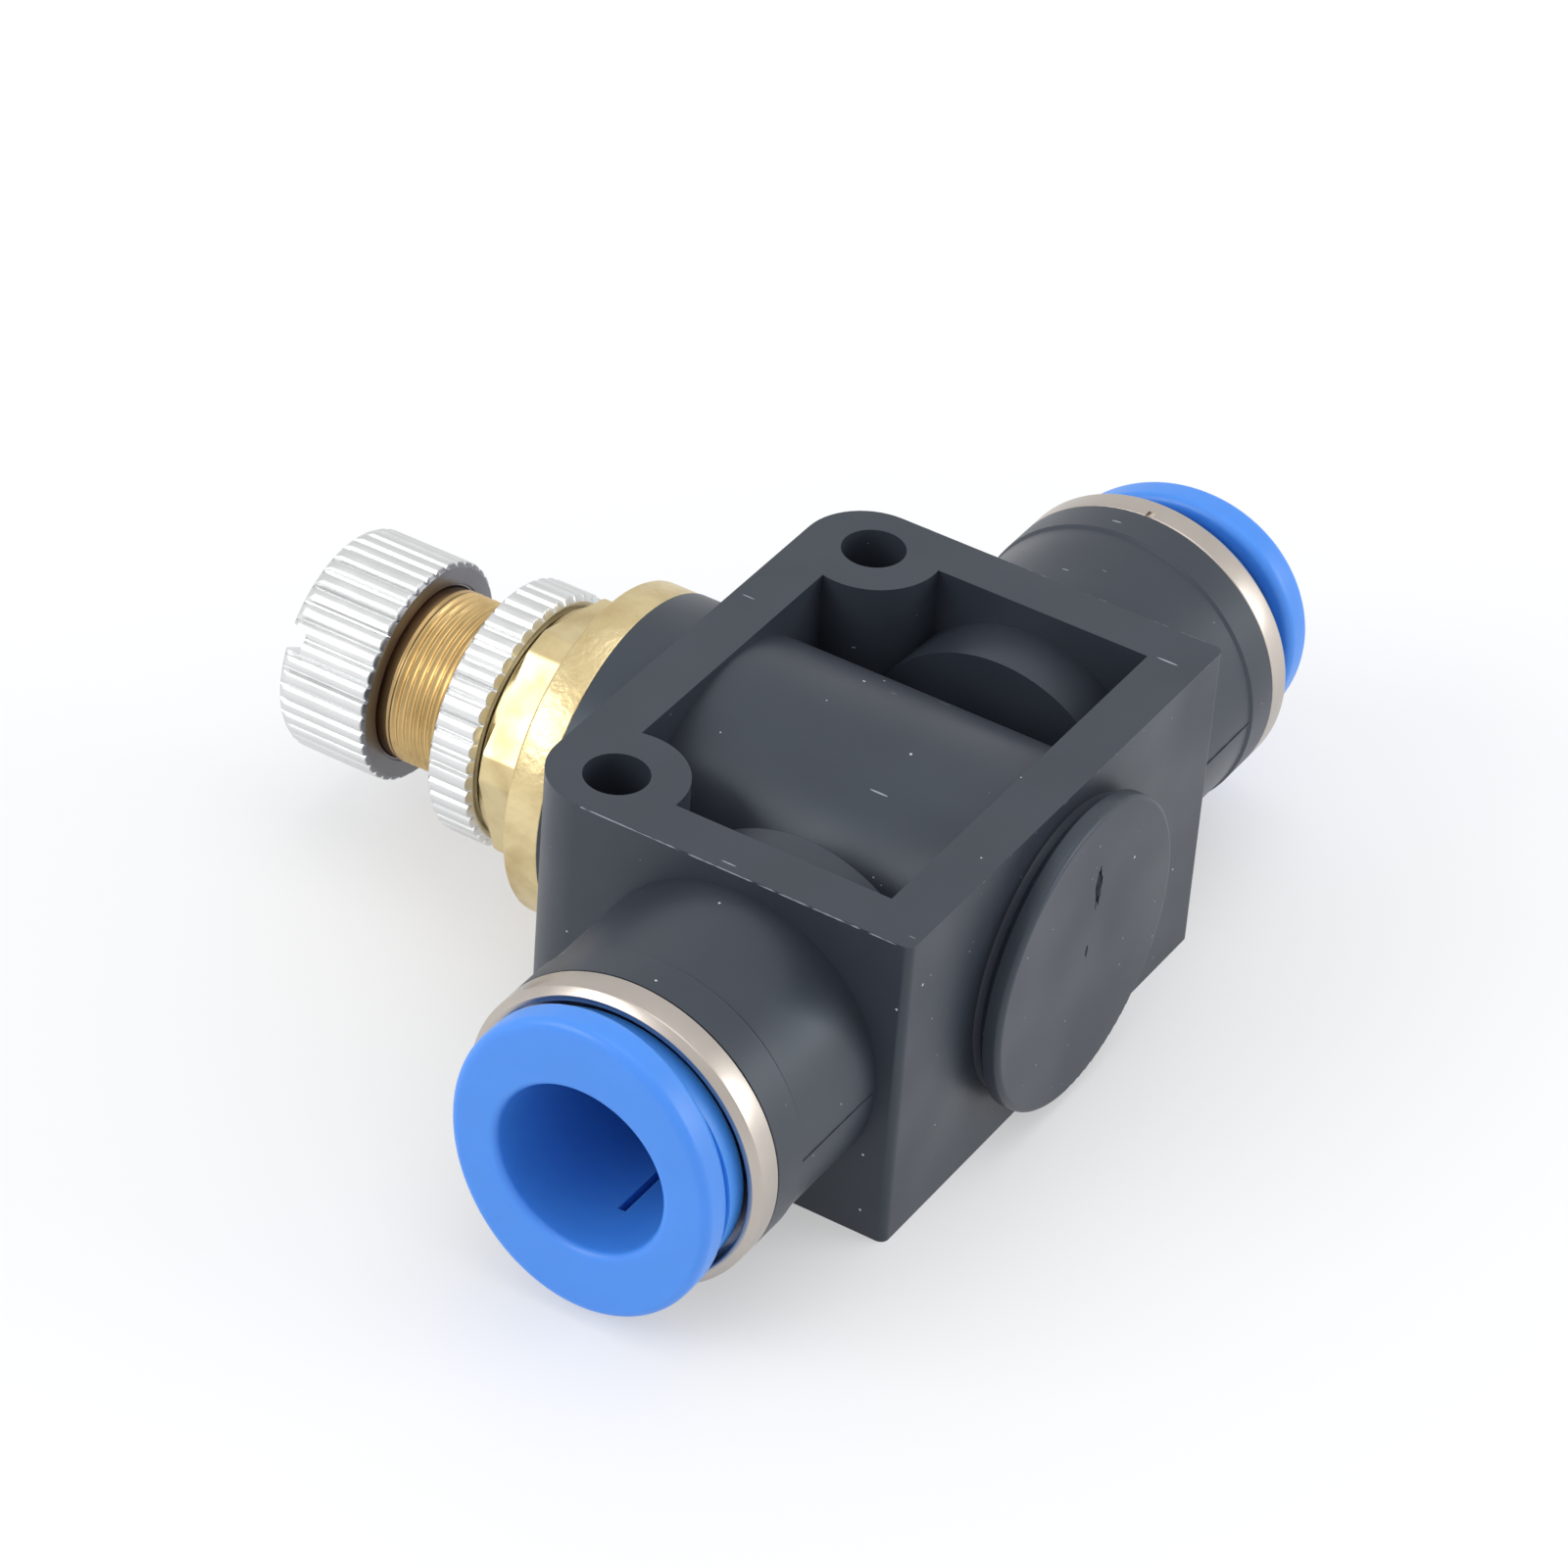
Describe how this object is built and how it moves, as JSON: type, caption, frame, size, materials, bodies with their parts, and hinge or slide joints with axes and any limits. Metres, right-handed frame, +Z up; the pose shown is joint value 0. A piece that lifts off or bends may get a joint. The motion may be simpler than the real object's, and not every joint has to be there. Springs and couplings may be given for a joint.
{
  "type": "flow control valve",
  "caption": "Inline pneumatic flow control valve: black moulded body with push-in tube ports, blue release rings, brass needle bushing and knurled adjusting knob with locknut.",
  "frame": {"origin": "on the base, midway between the two mounting holes", "axes": "+X along the flow from the near port to the far port, +Y along the needle towards its knob, +Z up out of the base"},
  "size_m": [0.063, 0.049, 0.02],
  "materials": {
    "body_plastic": "satin moulded glass-filled plastic, near black",
    "brass": "turned, satin",
    "knurled_metal": "bright machined, straight knurled",
    "nickel": "satin nickel plate on brass",
    "release_plastic": "moulded acetal, blue",
    "seal_rubber": "nitrile, matt black",
    "spacer_plastic": "moulded acetal, natural",
    "steel": "stainless spring steel"
  },
  "bodies": {
    "valve": {"valve_body": "body_plastic", "needle_bushing": "brass", "throttle_sleeve": "brass", "bushing_o_ring": "seal_rubber", "check_seal": "seal_rubber", "near_guide_ring": "steel", "near_cap_ring": "nickel", "near_backup_ring": "spacer_plastic", "near_tube_seal": "seal_rubber", "far_guide_ring": "steel", "far_cap_ring": "nickel", "far_backup_ring": "spacer_plastic", "far_tube_seal": "seal_rubber"},
    "needle_seal": {"needle_o_ring": "seal_rubber"},
    "needle": {"needle": "brass", "needle_clip": "steel", "knob": "knurled_metal"},
    "locknut": {"locknut": "knurled_metal"},
    "near_claw": {"near_grip_claw": "steel"},
    "near_release": {"near_release_ring": "release_plastic"},
    "far_claw": {"far_grip_claw": "steel"},
    "far_release": {"far_release_ring": "release_plastic"}
  },
  "joints": [
    {"name": "needle_travel", "type": "slide", "parent": "valve", "child": "needle_seal", "axis": [0, 1, 0], "range_m": [-0.00301, 0.00151]},
    {"name": "knob_turn", "type": "hinge", "parent": "needle_seal", "child": "needle", "pos_m": [0, -0.0102, 0.01], "axis": [0, 1, 0], "range_deg": [-2160, 1080]},
    {"name": "locknut_turn", "type": "hinge", "parent": "valve", "child": "locknut", "pos_m": [0, -0.0102, 0.01], "axis": [0, 1, 0], "range_deg": [0, 360]},
    {"name": "near_claw_spin", "type": "hinge", "parent": "valve", "child": "near_claw", "pos_m": [0, -0.0102, 0.01], "axis": [1, 0, 0], "continuous": true},
    {"name": "near_release_push", "type": "slide", "parent": "near_claw", "child": "near_release", "axis": [1, 0, 0], "range_m": [0, 0.001], "stiffness_N_per_m": 2000},
    {"name": "far_claw_spin", "type": "hinge", "parent": "valve", "child": "far_claw", "pos_m": [0, -0.0102, 0.01], "axis": [1, 0, 0], "continuous": true},
    {"name": "far_release_push", "type": "slide", "parent": "far_claw", "child": "far_release", "axis": [-1, 0, 0], "range_m": [0, 0.001], "stiffness_N_per_m": 2000}
  ],
  "couplings": [
    {"joint": "needle_travel", "follows": "knob_turn", "m_per_rad": 0.000079577}
  ]
}
